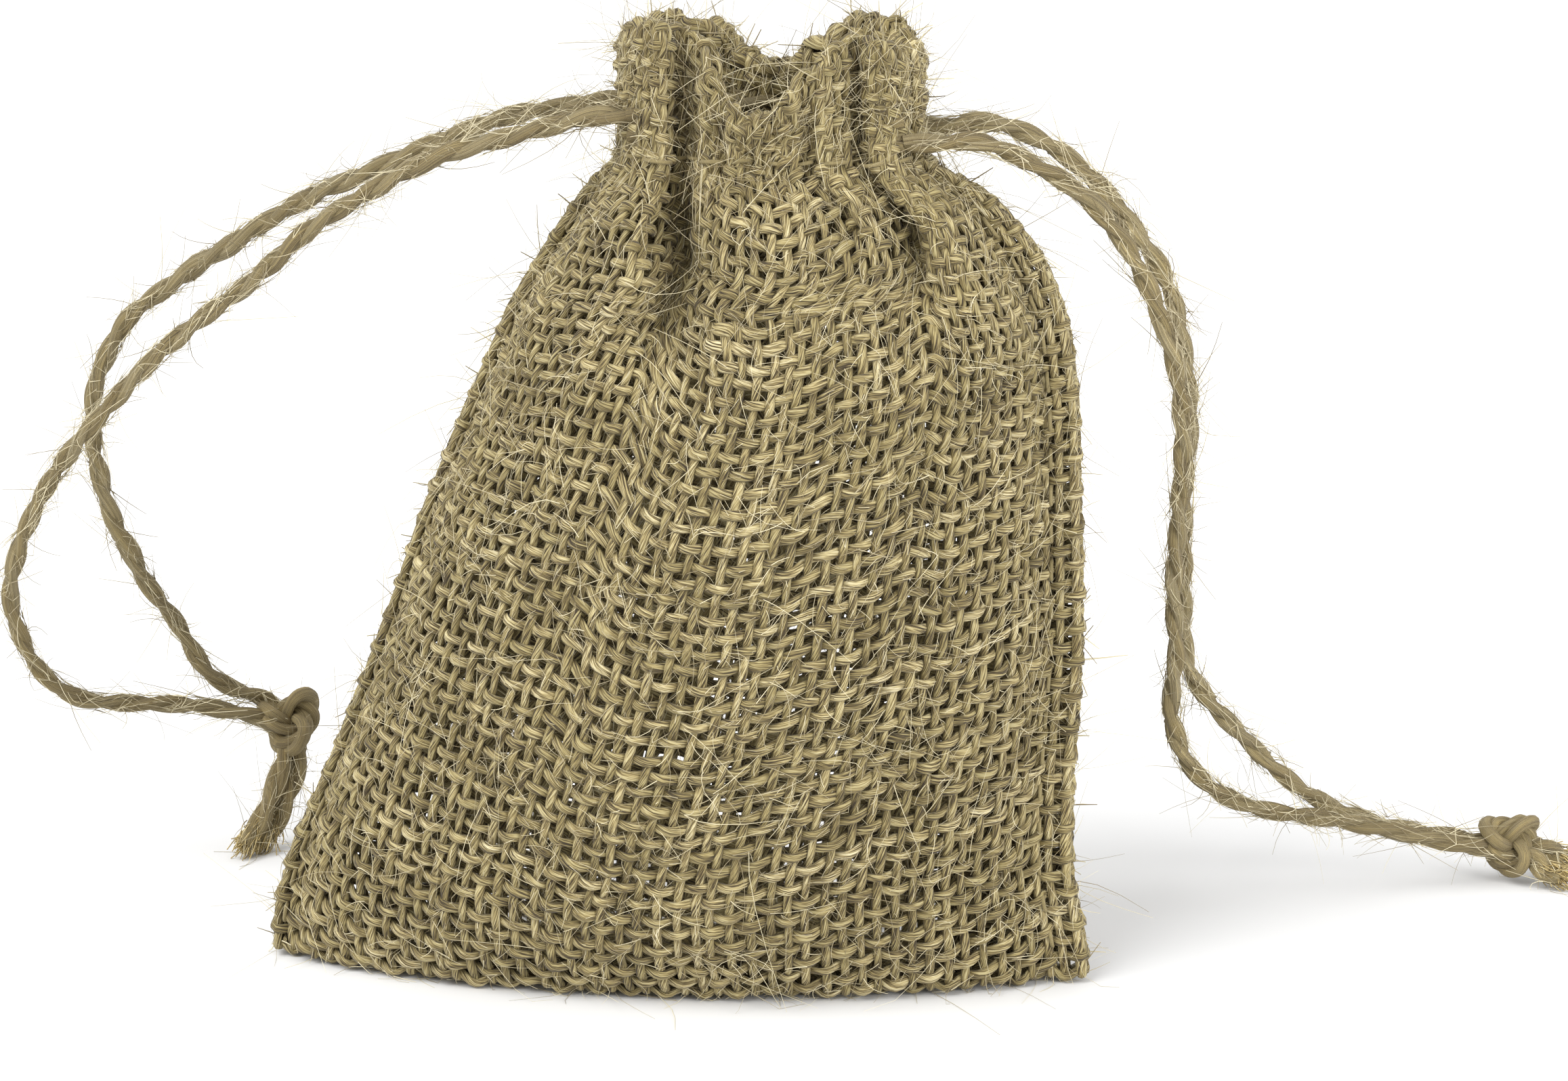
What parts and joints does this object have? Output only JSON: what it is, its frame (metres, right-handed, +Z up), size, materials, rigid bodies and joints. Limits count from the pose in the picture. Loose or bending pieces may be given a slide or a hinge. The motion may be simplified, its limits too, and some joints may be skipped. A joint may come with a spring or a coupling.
{
  "type": "drawstring gift pouch",
  "caption": "Small open-weave jute gift pouch with a gathered frilled neck and two knotted jute drawstrings that pull out to either side.",
  "frame": {"origin": "on the resting surface, under the middle of the pouch's base", "axes": "+Z up, -Y the front face, +X the viewer's right"},
  "size_m": [0.1762, 0.0647, 0.1022],
  "materials": {
    "jute_cloth": "coarse open plain weave of undyed jute yarn",
    "jute_seam": "two layers of the same cloth sewn flat",
    "jute_string": "two-ply twisted jute twine",
    "sewing_thread": "matt spun sewing thread"
  },
  "bodies": {
    "pouch": {"front_panel": "jute_cloth", "back_panel": "jute_cloth", "left_side_seam": "jute_seam", "right_side_seam": "jute_seam", "left_seam_stitches": "sewing_thread", "right_seam_stitches": "sewing_thread", "front_casing": "jute_cloth", "back_casing": "jute_cloth", "front_casing_stitches": "sewing_thread", "back_casing_stitches": "sewing_thread"},
    "front_frill": {"front_frill": "jute_cloth"},
    "back_frill": {"back_frill": "jute_cloth"},
    "left_drawstring": {"left_string_run": "jute_string", "left_front_leg": "jute_string", "left_back_leg": "jute_string", "left_knot": "jute_string", "left_tails": "jute_string"},
    "right_drawstring": {"right_string_run": "jute_string", "right_front_leg": "jute_string", "right_back_leg": "jute_string", "right_knot": "jute_string", "right_tails": "jute_string"}
  },
  "joints": [
    {"name": "left_string_pull", "type": "slide", "parent": "pouch", "child": "left_drawstring", "axis": [-1, 0, 0], "range_m": [0, 0.005]},
    {"name": "right_string_pull", "type": "slide", "parent": "pouch", "child": "right_drawstring", "axis": [1, 0, 0], "range_m": [0, 0.005]},
    {"name": "front_frill_fold", "type": "hinge", "parent": "pouch", "child": "front_frill", "pos_m": [0.01, -0.0084, 0.0952], "axis": [1, 0, 0], "range_deg": [0, 35]},
    {"name": "back_frill_fold", "type": "hinge", "parent": "pouch", "child": "back_frill", "pos_m": [0.01, 0.0084, 0.0952], "axis": [-1, 0, 0], "range_deg": [0, 35]}
  ]
}
